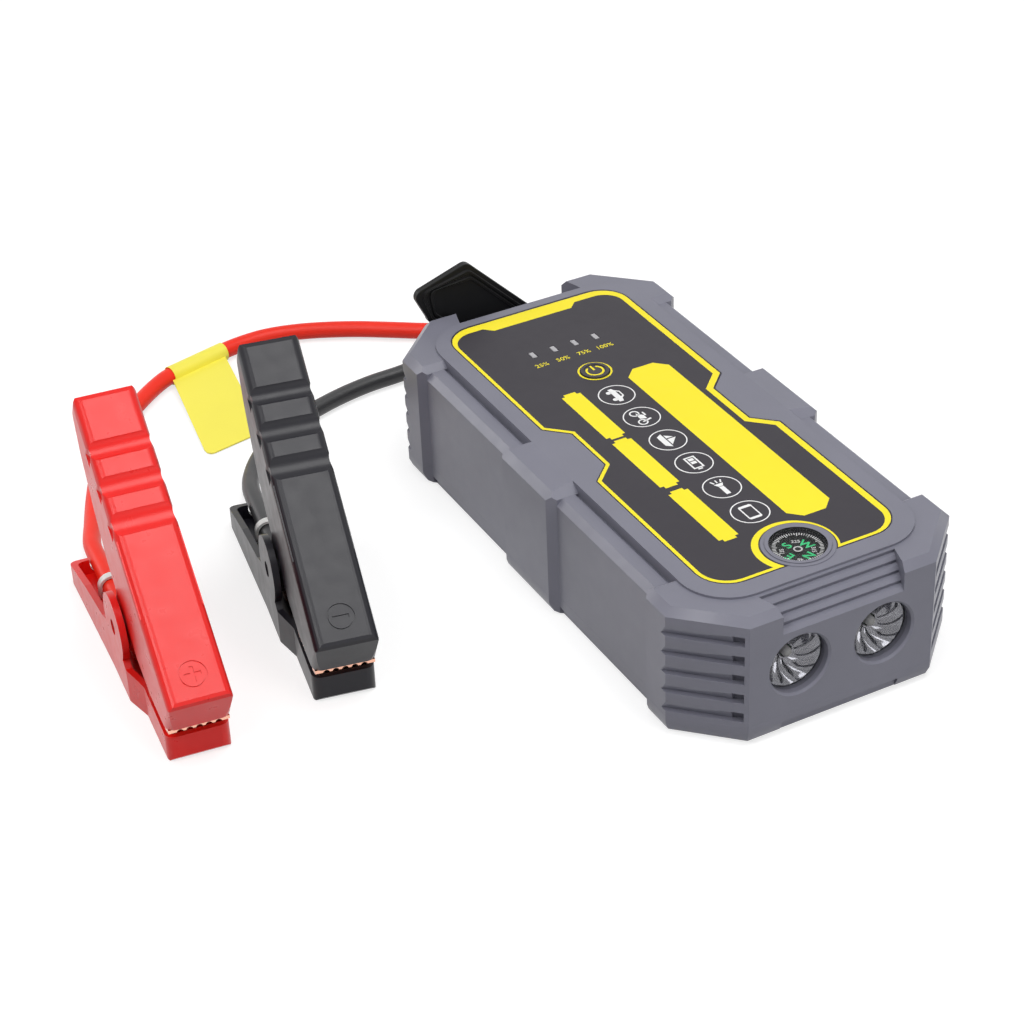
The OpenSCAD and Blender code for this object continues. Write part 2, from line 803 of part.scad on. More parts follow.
module plug_contacts() {
    color("gold") for (x = [-lead_dx, lead_dx])
        translate([socket_x + x, hl - 11, port_z]) rotate([-90, 0, 0]) difference() {
            cylinder(h = 18, r = 2.5);
            translate([0, 0, -1]) cylinder(h = 12, r = 1.65);
        }
}

module plug_boot() {
    color([0.1, 0.1, 0.1]) for (x = [-lead_dx, lead_dx])
        translate([socket_x + x, plug_end, port_z]) rotate([-90, 0, 0]) {
            cylinder(h = boot_end - plug_end, r1 = 4.3, r2 = cable_r + 0.35);
            for (i = [0 : 2])
                translate([0, 0, 1.2 + 2 * i]) cylinder(h = 1, r = 4.5 - 0.25 * i);
        }
}

module red_cable() {
    color("crimson") tube(smooth(red_route), cable_r, cable_sides);
}

module black_cable() {
    color([0.08, 0.08, 0.08]) tube(smooth(black_route), cable_r, cable_sides);
}

// Bare flag of film wrapped round the red cable, hanging to the floor
module cable_tag() {
    len_t = norm(tag_to - tag_from);
    turn = atan2(tag_to[1] - tag_from[1], tag_to[0] - tag_from[0]);
    color("gold") translate(tag_from) rotate([0, 0, turn]) difference() {
        union() {
            rotate([0, 90, 0]) cylinder(h = len_t, r = cable_r + 0.5);
            rotate([-tag_lean, 0, 0]) translate([0, 0, -0.25]) linear_extrude(0.5) polygon([
                [0.2, 0], [len_t - 0.2, 0], [45, 47], [45.3, 49], [44.4, 50.6], [43, 51],
                [24, 52], [22, 51.4], [21, 50]
            ]);
        }
        rotate([0, 90, 0]) translate([0, 0, -1]) cylinder(h = len_t + 2, r = cable_r + 0.25);
    }
}

// ---------- clamps: +X along the clamp to the jaws, +Y across, in each clamp's own frame ----------

module at_clamp(c) translate([c[0], c[1], 0]) rotate([0, 0, c[2] - 90]) children();

// +X along the handle from its rear end, -Z into its depth
module at_handle() {
    translate([pivot_s, 0, pivot_z]) rotate([0, handle_angle, 0])
        translate([-pivot_u, 0, pivot_v]) children();
}

module across(w) rotate([90, 0, 0]) linear_extrude(w, center = true) children();

module both_walls(inner, outer) {
    for (e = [-1, 1])
        translate([0, e * (inner + outer) / 2, 0]) across(outer - inner) children();
}

module pivot_disc(r, inner, outer) {
    for (e = [-1, 1])
        translate([pivot_s, e * (inner + outer) / 2, pivot_z]) rotate([90, 0, 0])
            cylinder(h = outer - inner, r = r, center = true);
}

// The lower half from above, d inside its outline: wide round the handle, narrow at the jaws
module lower_plan(d) {
    polygon(concat(
        corner(2.5 + d, -tail_w + 2.5 + d, 2.5, 180),
        [[pivot_s - 8, -ear_out + d], [pivot_s + 12, -ear_out + d], [82, -cw + d]],
        corner(front_l - 3, -cw + 3 + d, 3 - min(d, 2.6), 270),
        corner(front_l - 3, cw - 3 - d, 3 - min(d, 2.6), 0),
        [[82, cw - d], [pivot_s + 12, ear_out - d], [pivot_s - 8, ear_out - d]],
        corner(2.5 + d, tail_w - 2.5 - d, 2.5, 90)
    ));
}

module lower_shell() {
    difference() {
        union() {
            intersection() {
                linear_extrude(40) lower_plan(0);
                across(60) polygon([
                    [0, 1.2], [1.2, 0], [front_l - 1.4, 0], [front_l, 1.4], [front_l, 9.2],
                    [90, 10.4], [72, 12], [pivot_s, 20], [45, 15], [22, 11.6], [0, 7]
                ]);
            }
            pivot_disc(ear_r, ear_in, ear_out);
        }
        // channel behind the jaw, and the room of the jaw
        translate([0, 0, floor_t]) linear_extrude(40) intersection() {
            lower_plan(clamp_wall);
            translate([clamp_wall, -40]) square([84 - clamp_wall, 80]);
        }
        translate([80, -cin, jaw_base]) cube([front_l - 1.8 - 80, 2 * cin, 40]);
        // way in for the cable
        translate([-1, cable_l, cable_z - 0.1]) rotate([0, 90, 0]) cylinder(h = 6, r = cable_r + 0.5);
        translate([-1, cable_l - cable_r - 0.5, cable_z - 0.1]) cube([6, cable_d + 1, 20]);
        translate([pivot_s, 0, pivot_z]) rotate([90, 0, 0])
            cylinder(h = 60, r = rivet_d / 2 + turn_clear, center = true);
        // ribs across the flat underside
        for (i = [0 : 5])
            translate([14 + 14 * i, -cin + 1, -1]) cube([5, 2 * cin - 2, 1.6]);
    }
}

module handle_side() {
    polygon([
        [2.4, 0], [clamp_l - 1.6, 0], [clamp_l - 0.5, -0.4], [clamp_l + 0.1, -1.6],
        [clamp_l + 1.8, -14.3], [102, -18.3], [92, -24], [78, -28.5], [45, -28],
        [28, -22.5], [13, -15.6], [6.5, -11], [0, -6], [0, -2.4], [0.7, -0.7]
    ]);
}

// Section across a handle, with rounded upper edges
module handle_section() {
    polygon(concat(
        [[-up_w, -60], [up_w, -60]], corner(up_w - 3, -3, 3, 0), corner(-up_w + 3, -3, 3, 90)
    ));
}

// A handle from above, with rounded corners
module handle_plan() {
    polygon(concat(
        corner(3, -up_w + 3, 3, 180), corner(clamp_l - 1.2, -up_w + 3, 3, 270),
        corner(clamp_l - 1.2, up_w - 3, 3, 0), corner(3, up_w - 3, 3, 90)
    ));
}

// Rounded grip groove over the top and the sides of a handle
module grip_groove(u, w) {
    r = (w * w / 4 + grip_depth * grip_depth) / (2 * grip_depth);
    translate([u + w / 2, 0, r - grip_depth]) across(40) circle(r);
    for (e = [-1, 1])
        translate([u + w / 2, e * (up_w - 0.7 + r), -6]) cylinder(h = 12, r = r);
}

module upper_shell(plus) {
    difference() {
        union() {
            difference() {
                at_handle() difference() {
                    intersection() {
                        across(40) handle_side();
                        translate([-5, 0, 0]) rotate([90, 0, 90]) linear_extrude(140)
                            handle_section();
                        translate([0, 0, -60]) linear_extrude(70) handle_plan();
                    }
                    translate([shell_t, -up_in, -70]) cube([84 - shell_t, 2 * up_in, 70 - shell_t]);
                    // grip grooves
                    for (i = [0 : 2])
                        grip_groove(16.5 + 12.3 * i, 6.5 + 0.7 * i);
                    // ring round the polarity sign, and the sign
                    translate([97, 0, -0.35]) difference() {
                        cylinder(h = 3, r = 4.4);
                        translate([0, 0, -1]) cylinder(h = 5, r = 3.8);
                    }
                    translate([97 - 0.6, -2.6, -0.35]) cube([1.2, 5.2, 3]);
                    if (plus) translate([97 - 2.6, -0.6, -0.35]) cube([5.2, 1.2, 3]);
                }
                // room for the jaw
                translate([70, -up_in, 0]) cube([clamp_l + 2.4 - 70, 2 * up_in, 17]);
            }
            // ears on the pivot
            intersection() {
                both_walls(up_in - ear_step, up_w - ear_step) union() {
                    translate([pivot_s, pivot_z]) circle(8);
                    translate([pivot_s, pivot_z]) rotate(-handle_angle)
                        translate([-pivot_u, pivot_v])
                            polygon([[50, -1.2], [76, -1.2], [70.6, -37], [55, -37]]);
                }
                translate([0, -20, 0]) cube([140, 40, 100]);
            }
        }
        translate([pivot_s, 0, pivot_z]) rotate([90, 0, 0])
            cylinder(h = 60, r = rivet_d / 2 + turn_clear, center = true);
    }
}

// Row of teeth seen from the side: up is +1 or -1, phase in pitches
function teeth(s0, s1, z, up, phase) = [
    for (i = [0 : floor((s1 - s0) / tooth_p) - 1])
        for (k = [0, 1])
            [s0 + (i + phase + k * 0.5) * tooth_p, z + up * k * tooth]
];

module upper_jaw() {
    difference() {
        union() {
            across(2 * up_w - 1.2) polygon(concat(
                teeth(86, 107, bite_z + jaw_gap + tooth, -1, 0.25),
                [[109.6, bite_z + jaw_gap + tooth], [109.6, lip_z], [84.5, lip_z]]
            ));
            across(jaw_w) polygon([[84.5, lip_z - 0.5], [108, lip_z - 0.5], [108, 17], [84.5, 17]]);
        }
        translate([80, -jaw_w / 2 + 2, 0]) cube([26, jaw_w - 4, 15.4]);
        // wavy front edge
        for (i = [-2 : 2])
            translate([105.5, 3 * i, bite_z + jaw_gap + tooth - 0.3]) rotate([0, 90, 0])
                cylinder(h = 6, r = 1.1);
    }
}

module lower_jaw() {
    difference() {
        across(jaw_w) polygon(concat(
            teeth(86, 104, bite_z - tooth, 1, 0.75),
            [[104, bite_z - tooth], [104, jaw_base], [84, jaw_base], [84, bite_z - 2]]
        ));
        translate([80, -jaw_w / 2 + 2, jaw_base + 1.4]) cube([22.6, jaw_w - 4, 15]);
    }
}

// Hollow pin with its ends just below the faces of the ears
module rivet() {
    translate([pivot_s, 0, pivot_z]) rotate([90, 0, 0]) difference() {
        cylinder(h = 2 * ear_out - 1.2, r = rivet_d / 2, center = true);
        cylinder(h = 60, r = rivet_d / 2 - 1.1, center = true);
    }
}

function coil_pt(a) = [
    pivot_s + spring_r * cos(a),
    coil_half - coil_pitch * (a - coil_from) / 360,
    pivot_z + spring_r * sin(a)
];
coil_steps = round((coil_to - coil_from) / coil_step);
leg_start = coil_pt(coil_from);
leg_run = (leg_start[2] - floor_t - spring_wire / 2 - seat) / cos(coil_from);
leg_end = leg_start - leg_run * [-sin(coil_from), 0, cos(coil_from)];

module spring() {
    coil = [
        for (i = [0 : coil_steps])
            coil_pt(coil_from + i * (coil_to - coil_from) / coil_steps)
    ];
    tube(concat([leg_end, (leg_end + leg_start) / 2], coil), spring_wire / 2, 6);
}

// The leg that goes with the handle leaves the coil along its last tangent
module spring_leg() {
    p = coil_pt(coil_to);
    lean = coil_to % 360;
    reach = 39;
    translate(p) rotate([0, -lean, 0]) translate([0, 0, seat]) cylinder(h = reach, d = spring_wire);
}

// Saddle over the cable, screwed to the floor of the lower half
module cable_clip() {
    r = cable_r + 0.3;
    translate([14, cable_l, cable_z]) rotate([0, 90, 0]) difference() {
        union() {
            translate([0, 0, 1.2]) cylinder(h = 2.6, r = r + 0.9);
            translate([0, -r - 0.9, 1.2]) cube([cable_z - floor_t, 2 * r + 1.8, 2.6]);
            translate([cable_z - floor_t - 1.2, 0, 0]) cube([1.2, r + 6, 5]);
        }
        translate([0, 0, -1]) cylinder(h = 8, r = r);
        translate([0, -r, -1]) cube([20, 2 * r, 8]);
        translate([0, r + 3.4, 2.5]) rotate([0, 90, 0]) cylinder(h = 20, r = 1);
    }
}

module lug() {
    translate([lug_s, cable_l, cable_z]) rotate([0, 90, 0])
        cylinder(h = 10, r = cable_r + 0.25);
    translate([lug_s + 9, cable_l - 2, jaw_base]) cube([75 - lug_s - 9, 4, 1.3]);
    translate([72, cable_l - 2, jaw_base]) cube([84 - 72, 8.6, 1.3]);
}

module red_upper_shell() color("firebrick") at_clamp(red_at) upper_shell(true);
module red_lower_shell() color("firebrick") at_clamp(red_at) lower_shell();
module red_upper_jaw() color("peru") at_clamp(red_at) upper_jaw();
module red_lower_jaw() color("peru") at_clamp(red_at) lower_jaw();
module red_rivet() color("silver") at_clamp(red_at) rivet();
module red_spring() color("silver") at_clamp(red_at) spring();
module red_spring_leg() color("silver") at_clamp(red_at) spring_leg();
module red_cable_clip() color("white") at_clamp(red_at) cable_clip();
module red_lug() color("silver") at_clamp(red_at) lug();

module black_upper_shell() color([0.13, 0.13, 0.13]) at_clamp(black_at) upper_shell(false);
module black_lower_shell() color([0.13, 0.13, 0.13]) at_clamp(black_at) lower_shell();
module black_upper_jaw() color("peru") at_clamp(black_at) upper_jaw();
module black_lower_jaw() color("peru") at_clamp(black_at) lower_jaw();
module black_rivet() color("silver") at_clamp(black_at) rivet();
module black_spring() color("silver") at_clamp(black_at) spring();
module black_spring_leg() color("silver") at_clamp(black_at) spring_leg();
module black_cable_clip() color("white") at_clamp(black_at) cable_clip();
module black_lug() color("silver") at_clamp(black_at) lug();

top_case();
base_cover();
label_panel();
power_button();
button_switch();
led_windows();
status_leds();
compass_housing();
compass_card();
compass_pivot();
compass_lens();
lamp_lens(-lamp_x);  // lamp_lens_left
lamp_lens(lamp_x);  // lamp_lens_right
lamp_reflector(-lamp_x);  // lamp_reflector_left
lamp_reflector(lamp_x);  // lamp_reflector_right
lamp_led(-lamp_x);  // lamp_led_left
lamp_led(lamp_x);  // lamp_led_right
lamp_board();
main_board();
cell(0);  // cell_1
cell(1);  // cell_2
cell(2);  // cell_3
cell_links();
output_socket();
output_contacts();
usb_socket(1);  // usb_socket_upper
usb_socket(-1);  // usb_socket_lower
charge_socket();
cover_pin();
port_cover();
case_screws();
lead_plug();
plug_contacts();
plug_boot();
red_cable();
black_cable();
cable_tag();
red_upper_shell();
red_lower_shell();
red_upper_jaw();
red_lower_jaw();
red_rivet();
red_spring();
red_spring_leg();
red_cable_clip();
red_lug();
black_upper_shell();
black_lower_shell();
black_upper_jaw();
black_lower_jaw();
black_rivet();
black_spring();
black_spring_leg();
black_cable_clip();
black_lug();
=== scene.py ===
"""Jump starter pack with a pair of battery clamps.

The scene is in metres, +Z up. Sizes written in millimetres are multiplied by MM.
"""

import math

import bmesh
import bpy
from mathutils import Matrix, Vector


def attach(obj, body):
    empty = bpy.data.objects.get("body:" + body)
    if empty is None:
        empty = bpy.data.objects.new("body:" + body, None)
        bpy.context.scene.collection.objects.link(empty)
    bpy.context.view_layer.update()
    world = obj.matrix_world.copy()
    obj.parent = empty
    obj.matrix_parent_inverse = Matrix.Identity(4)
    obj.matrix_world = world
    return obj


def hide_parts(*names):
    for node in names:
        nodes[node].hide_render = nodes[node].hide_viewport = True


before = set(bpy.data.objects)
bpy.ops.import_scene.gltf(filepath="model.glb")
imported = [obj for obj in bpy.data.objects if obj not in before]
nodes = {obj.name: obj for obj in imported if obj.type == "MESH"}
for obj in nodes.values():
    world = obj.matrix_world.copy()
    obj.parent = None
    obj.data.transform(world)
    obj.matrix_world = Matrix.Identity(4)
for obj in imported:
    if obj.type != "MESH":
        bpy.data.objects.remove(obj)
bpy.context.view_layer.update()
MM = 0.001
X, Y, Z = 0, 1, 2
LOW, HIGH = 0, 1


# ---------- places taken from the frame ----------

def extent(node):
    """The low and the high corner of a CAD node's box, in millimetres."""
    places = [vertex.co / MM for vertex in nodes[node].data.vertices]
    return [[round(pick(place[axis] for place in places), 2) for axis in (X, Y, Z)]
            for pick in (min, max)]


def middle(node):
    """The middle of a CAD node's box, in millimetres."""
    return [(low + high) / 2 for low, high in zip(*extent(node))]


# ---------- camera ----------

AZIMUTH, ELEVATION, ROLL = -26.892, 33.706, -2.518
CAMERA_AT = (-364.862, -609.901, 488.778)
SENSOR_MM = 36
FOCAL_PX, FRAME_PX = 2572.747, 1024
FAR_CLIP = 20


def aim_camera():
    """The camera's place and turn in the pack's frame."""
    azimuth, elevation, roll = (math.radians(a) for a in (AZIMUTH, ELEVATION, ROLL))
    back = Vector((math.sin(azimuth) * math.cos(elevation),
                   -math.cos(azimuth) * math.cos(elevation),
                   math.sin(elevation)))
    right = (-back).cross(Vector((0, 0, 1))).normalized()
    up = right.cross(-back)
    right_rolled = math.cos(roll) * right + math.sin(roll) * up
    up_rolled = -math.sin(roll) * right + math.cos(roll) * up
    turn = Matrix((right_rolled, up_rolled, back)).transposed().to_4x4()
    lens = bpy.data.cameras.new("camera")
    lens.sensor_width = SENSOR_MM
    lens.lens = SENSOR_MM * FOCAL_PX / FRAME_PX
    lens.clip_end = FAR_CLIP
    holder = bpy.data.objects.new("camera", lens)
    holder.matrix_world = Matrix.Translation(Vector(CAMERA_AT) * MM) @ turn
    bpy.context.collection.objects.link(holder)
    bpy.context.scene.camera = holder


# ---------- materials ----------

MIX_FIRST, MIX_SECOND, MIX_COLOUR = 6, 7, 2  # the colour sockets of a Mix node
FILM_GRIT, SOFT_GRIT = 0.000003, 0.000006  # depth of relief, in metres


class Level:
    """A number that changes over a surface or with the kind of ray."""

    def __init__(self, wiring, socket):
        self.wiring = wiring
        self.socket = socket

    def maths(self, operation, *values):
        made = self.wiring.node("ShaderNodeMath", {"operation": operation}, *values)
        return Level(self.wiring, made.outputs[0])

    def __add__(self, other):
        return self.maths("ADD", self, other)

    __radd__ = __add__

    def __sub__(self, other):
        return self.maths("SUBTRACT", self, other)

    def __rsub__(self, other):
        return self.maths("SUBTRACT", other, self)

    def __mul__(self, other):
        return self.maths("MULTIPLY", self, other)

    __rmul__ = __mul__

    def __or__(self, other):
        """The higher of two levels, so 1 where either of them is 1."""
        return self.maths("MAXIMUM", self, other)

    __ror__ = __or__


class Wiring:
    """The nodes ahead of one shader, in a material or in the world."""

    def __init__(self, owner, shader):
        owner.use_nodes = True
        self.tree = owner.node_tree
        self.shader = self.tree.nodes[shader]

    def fill(self, node, *values, **named):
        """Sets or links a node's sockets, by order and by name."""
        sockets = list(zip(node.inputs, values))
        sockets += [(node.inputs[name.replace("_", " ")], value) for name, value in named.items()]
        for socket, value in sockets:
            if isinstance(value, Level):
                value = value.socket
            if isinstance(value, bpy.types.NodeSocket):
                self.tree.links.new(value, socket)
            else:
                socket.default_value = value
        return node

    def node(self, kind, settings=None, *values, **named):
        """One node: its settings first, then its sockets."""
        made = self.tree.nodes.new(kind)
        for key, value in (settings or {}).items():
            setattr(made, key, value)
        return self.fill(made, *values, **named)


class Finish(Wiring):
    """A material on the Principled shader."""

    def __init__(self, name, colour, roughness, **fixed):
        self.material = bpy.data.materials.new(name)
        super().__init__(self.material, "Principled BSDF")
        self.fill(self.shader, Base_Color=(*colour, 1), Roughness=roughness, **fixed)
        self.place = self.node("ShaderNodeTexCoord").outputs["Object"]

    def grain(self, cells, detail, stretch=(1, 1, 1)):
        """Noise over the piece, with a number of cells to the metre."""
        where = self.node("ShaderNodeMapping", None, Vector=self.place, Scale=stretch)
        made = self.node("ShaderNodeTexNoise", None, Vector=where.outputs[0], Scale=cells,
                         Detail=detail)
        return Level(self, made.outputs[0])

    def tint(self, level, first, second):
        """Colour between first and second by a level."""
        made = self.node("ShaderNodeMix", {"data_type": "RGBA"}, level)
        made.inputs[MIX_FIRST].default_value = (*first, 1)
        made.inputs[MIX_SECOND].default_value = (*second, 1)
        self.fill(self.shader, Base_Color=made.outputs[MIX_COLOUR])

    def rough(self, noise, spread, roughness):
        """Roughness that a noise moves up and down."""
        self.fill(self.shader, Roughness=(noise - 0.5) * spread + roughness)

    def relief(self, level, depth):
        """Fine surface relief, depth in metres."""
        made = self.node("ShaderNodeBump", None, Height=level, Distance=depth, Strength=1.0)
        self.fill(self.shader, Normal=made.outputs[0])


def toned(colour, factor):
    """A colour made darker or lighter."""
    return tuple(min(1, part * factor) for part in colour)


def moulded(name, colour, roughness, gloss=0.5, grit=0.000012, drift=0.12):
    """Moulded plastic or print: fine grit, slight colour drift and uneven sheen."""
    cloud_cells, sheen_cells, coarse_cells, fine_cells = 38, 210, 900, 2600
    made = Finish(name, colour, roughness, Specular_IOR_Level=gloss)
    made.tint(made.grain(cloud_cells, 3), toned(colour, 1 - drift), toned(colour, 1 + drift))
    made.rough(made.grain(sheen_cells, 3), 0.16, roughness)
    made.relief(made.grain(fine_cells, 1) * 0.5 + made.grain(coarse_cells, 1) * 0.5, grit)
    return made


def metal(name, colour, roughness, brush=(1, 1, 1), depth=SOFT_GRIT, cells=2600, spread=0.3):
    """Plated or stamped metal with light scratches, drawn out by the brush."""
    cloud_cells, sheen_cells = 160, 700
    made = Finish(name, colour, roughness, Metallic=1.0)
    made.tint(made.grain(cloud_cells, 4), toned(colour, 0.8), toned(colour, 1.1))
    made.rough(made.grain(sheen_cells, 3, brush), spread, roughness)
    made.relief(made.grain(cells, 3, brush), depth)
    return made


def clear(name, tone, cover):
    """Clear moulded plastic, as a thin dark film over what lies behind it."""
    haze_cells, sheen_cells, roughness = 120, 300, 0.04
    made = Finish(name, tone, roughness, Alpha=cover)
    made.tint(made.grain(haze_cells, 2), toned(tone, 0.94), tone)
    made.rough(made.grain(sheen_cells, 2), 0.03, roughness)
    return made


FINISHES = {
    # case, label and button
    "case": moulded("case_plastic", (0.19, 0.19, 0.234), 0.35, gloss=0.35),
    "overlay": moulded("label_film", (0.038, 0.0345, 0.042), 0.4, gloss=0.2, grit=FILM_GRIT),
    "yellow": moulded("yellow_print", (0.95, 0.8, 0.028), 0.45, gloss=0.3, grit=FILM_GRIT,
                      drift=0.04),
    "white": moulded("white_print", (0.88, 0.88, 0.88), 0.45, gloss=0.3, grit=FILM_GRIT,
                     drift=0.04),
    "button": moulded("button_plastic", (0.055, 0.051, 0.058), 0.4, gloss=0.2),
    "light": moulded("charge_light", (0.42, 0.41, 0.43), 0.4, drift=0.05),
    # compass and lamps
    "bezel": moulded("bezel_plastic", (0.02, 0.02, 0.023), 0.22, grit=FILM_GRIT),
    "dial": moulded("dial_print", (0.012, 0.013, 0.013), 0.45, gloss=0.2, grit=FILM_GRIT),
    "green": moulded("green_print", (0.06, 0.93, 0.34), 0.45, grit=FILM_GRIT, drift=0.05),
    "clear": clear("clear_lens", (0.06, 0.062, 0.066), 0.12),
    "reflector": metal("lamp_mirror", (0.27, 0.27, 0.295), 0.1, depth=0.000001, cells=250,
                       spread=0.1),
    "led": moulded("lamp_dome", (0.56, 0.56, 0.545), 0.1, grit=FILM_GRIT, drift=0.05),
    # clamps and cables
    "red": moulded("red_plastic", (0.8, 0.012, 0.009), 0.3, gloss=0.35, grit=FILM_GRIT,
                   drift=0.05),
    "black": moulded("black_plastic", (0.012, 0.0115, 0.016), 0.33, gloss=0.3, grit=FILM_GRIT),
    "red_cable": moulded("red_silicone", (0.98, 0.032, 0.014), 0.42, gloss=0.3, grit=SOFT_GRIT),
    "black_cable": moulded("black_silicone", (0.034, 0.034, 0.036), 0.4, grit=0.00001),
    "tag": moulded("tag_film", (0.97, 0.86, 0.09), 0.35, grit=SOFT_GRIT, drift=0.05),
    "copper": metal("copper_jaw", (0.86, 0.47, 0.34), 0.24),
    "dark_steel": metal("dark_steel", (0.16, 0.16, 0.17), 0.4),
    # sockets, cover and what lies inside
    "rubber": moulded("black_rubber", (0.009, 0.009, 0.0095), 0.42, gloss=0.2, grit=0.000015),
    "socket": moulded("socket_plastic", (0.025, 0.08, 0.42), 0.4),
    "chip": moulded("chip_plastic", (0.03, 0.03, 0.03), 0.5),
    "board": moulded("board_mask", (0.02, 0.2, 0.08), 0.35),
    "pale": moulded("pale_plastic", (0.8, 0.8, 0.78), 0.4),
    "cell": metal("cell_foil", (0.62, 0.64, 0.67), 0.35),
    "steel": metal("steel", (0.34, 0.34, 0.35), 0.2, brush=(1, 4, 1)),
    "brass": metal("brass", (0.78, 0.6, 0.27), 0.25),
}

# The CAD nodes that wear each finish, apart from the clamps' own
WORN = {
    "overlay": ["label_panel"],
    "button": ["power_button"],
    "light": ["led_windows"],
    "bezel": ["compass_housing"],
    "dial": ["compass_card"],
    "clear": ["compass_lens", "lamp_lens_left", "lamp_lens_right"],
    "led": ["lamp_led_left", "lamp_led_right"],
    "red_cable": ["red_cable"],
    "black_cable": ["black_cable"],
    "tag": ["cable_tag"],
    "rubber": ["plug_boot"],
    "socket": ["output_socket"],
    "chip": ["button_switch", "charge_socket"],
    "board": ["lamp_board", "main_board"],
    "pale": ["status_leds"],
    "cell": ["cell_1", "cell_2", "cell_3"],
    "steel": ["cell_links", "usb_socket_upper", "usb_socket_lower", "cover_pin", "case_screws"],
    "brass": ["compass_pivot", "output_contacts", "plug_contacts"],
}
WORN_ON_CLAMP = {
    "upper_jaw": "copper", "lower_jaw": "copper", "rivet": "dark_steel", "spring": "steel",
    "spring_leg": "steel", "cable_clip": "pale", "lug": "copper",
}


def wear(node, finish):
    """Gives a CAD node one finish in place of what it has."""
    materials = nodes[node].data.materials
    materials.clear()
    materials.append(FINISHES[finish].material)


# ---------- shapes ----------

SAME_PLACE = 2e-6  # metres
FLAT_FROM = 14e-6  # square metres
FLAT_WITHIN = 1.2  # degrees
SHARP_FROM = 32  # degrees


def add_object(name, data, body):
    """A new object that rides on a body."""
    made = bpy.data.objects.new(name, data)
    bpy.context.collection.objects.link(made)
    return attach(made, body)


def finish_mesh(name, bm, body, finish):
    """Turns a bmesh into a piece that rides on a body."""
    data = bpy.data.meshes.new(name)
    bm.to_mesh(data)
    bm.free()
    stored = data.attributes.get("custom_normal")
    if stored:
        data.attributes.remove(stored)
    data.materials.append(FINISHES[finish].material)
    return add_object(name, data, body)


def shade(obj, angle):
    """Smooth shading, apart from edges that turn by more than an angle in degrees."""
    for face in obj.data.polygons:
        face.use_smooth = True
    obj.data.set_sharp_from_angle(angle=math.radians(angle))


def merged(node):
    """A bmesh of a CAD node with its loose triangles joined and its flat faces whole."""
    bm = bmesh.new()
    bm.from_mesh(nodes[node].data)
    bmesh.ops.remove_doubles(bm, verts=bm.verts, dist=SAME_PLACE)
    bmesh.ops.dissolve_limit(bm, angle_limit=math.radians(FLAT_WITHIN), verts=bm.verts,
                             edges=bm.edges)
    return bm


def soften(node, body, finish, width):
    """A copy of a CAD node with its hard edges rounded by a width in millimetres."""
    made = finish_mesh(f"soft_{node}", merged(node), body, finish)
    rounding = made.modifiers.new("rounding", "BEVEL")
    rounding.width = width * MM
    rounding.segments = 2
    rounding.limit_method = "ANGLE"
    rounding.angle_limit = math.radians(SHARP_FROM)
    rounding.harden_normals = True
    rounding.miter_outer = "MITER_ARC"
    shade(made, SHARP_FROM)
    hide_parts(node)


def smooth_curves(node, body, finish):
    """A copy of a CAD node whose small facets are shaded as curves and large ones as planes."""
    bm = merged(node)
    for face in bm.faces:
        face.smooth = face.calc_area() < FLAT_FROM
    bmesh.ops.triangulate(bm, faces=[f for f in bm.faces if len(f.verts) > 4])
    curved = [face.smooth for face in bm.faces]
    made = finish_mesh(f"smooth_{node}", bm, body, finish)
    made.data.set_sharp_from_angle(angle=math.radians(SHARP_FROM))
    made.data.polygons.foreach_set("use_smooth", curved)
    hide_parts(node)


def add_spline(data, points):
    """A straight-sided spline through points in metres."""
    spline = data.splines.new("POLY")
    spline.points.add(len(points) - 1)
    for point, place in zip(spline.points, points):
        point.co = (*place, 1)
    return spline


# ---------- cables ----------

CABLE_D = 6.2
BOOT_X, _, BOOT_Z = middle("plug_boot")
BOOT_END = extent("plug_boot")[HIGH][Y]
BOOT_APART = 3.8  # from the middle of the boot to each cable
CABLE_ACROSS, CABLE_Z = -4.3, 5.45  # inside a lower handle
LUG_ALONG = 48
RED_AT = (-163.8, 82.9, -6.6)  # where a clamp's tail lies, and its turn in degrees
BLACK_AT = (-105.3, 85, -11.2)


def clamp_point(clamp, along, across, up):
    """A point of a clamp, in millimetres of the whole."""
    x, y, degrees = clamp
    turn = math.radians(degrees)
    return (x + along * math.sin(turn) + across * math.cos(turn),
            y - along * math.cos(turn) + across * math.sin(turn), up)


def lead_start(x):
    """The straight first points of a cable, in the boot and just out of it."""
    return [(x, BOOT_END + out, BOOT_Z) for out in (0.1, 2, 4)]


def clamp_end(clamp):
    """The last points of a cable, from the tail of a clamp to its lug."""
    return [clamp_point(clamp, along, CABLE_ACROSS, up)
            for along, up in ((-9, 5), (6, CABLE_Z), (27, CABLE_Z), (LUG_ALONG, CABLE_Z))]


RED_ROUTE = lead_start(BOOT_X + BOOT_APART) + [
    (27.3, 133.5, 16.5), (24, 140.5, 11), (17.5, 148, 6.5), (7, 156.5, 4.2), (-7.6, 167, 3.6),
    (-26, 180, 3.6), (-44, 189.5, 3.6), (-60, 193.8, 3.6), (-74, 192.9, 3.6), (-82, 190.8, 3.6),
    (-90, 188.7, 3.6), (-98, 186.6, 3.6), (-105, 184, 3.6), (-117, 175, 3.6), (-134, 159, 3.4),
    (-145.5, 142, 3.4), (-154.5, 124, 3.4), (-162, 106, 3.8),
] + clamp_end(RED_AT)
BLACK_ROUTE = lead_start(BOOT_X - BOOT_APART) + [
    (18.5, 134, 16), (11, 141, 10.5), (0, 144.5, 6), (-13, 144, 3.8), (-27, 142.3, 3.3),
    (-38, 141.8, 3.3), (-50, 140, 3.3), (-64, 136, 3.3), (-80, 129, 3.3), (-94, 118, 3.3),
    (-103, 106, 3.7),
] + clamp_end(BLACK_AT)


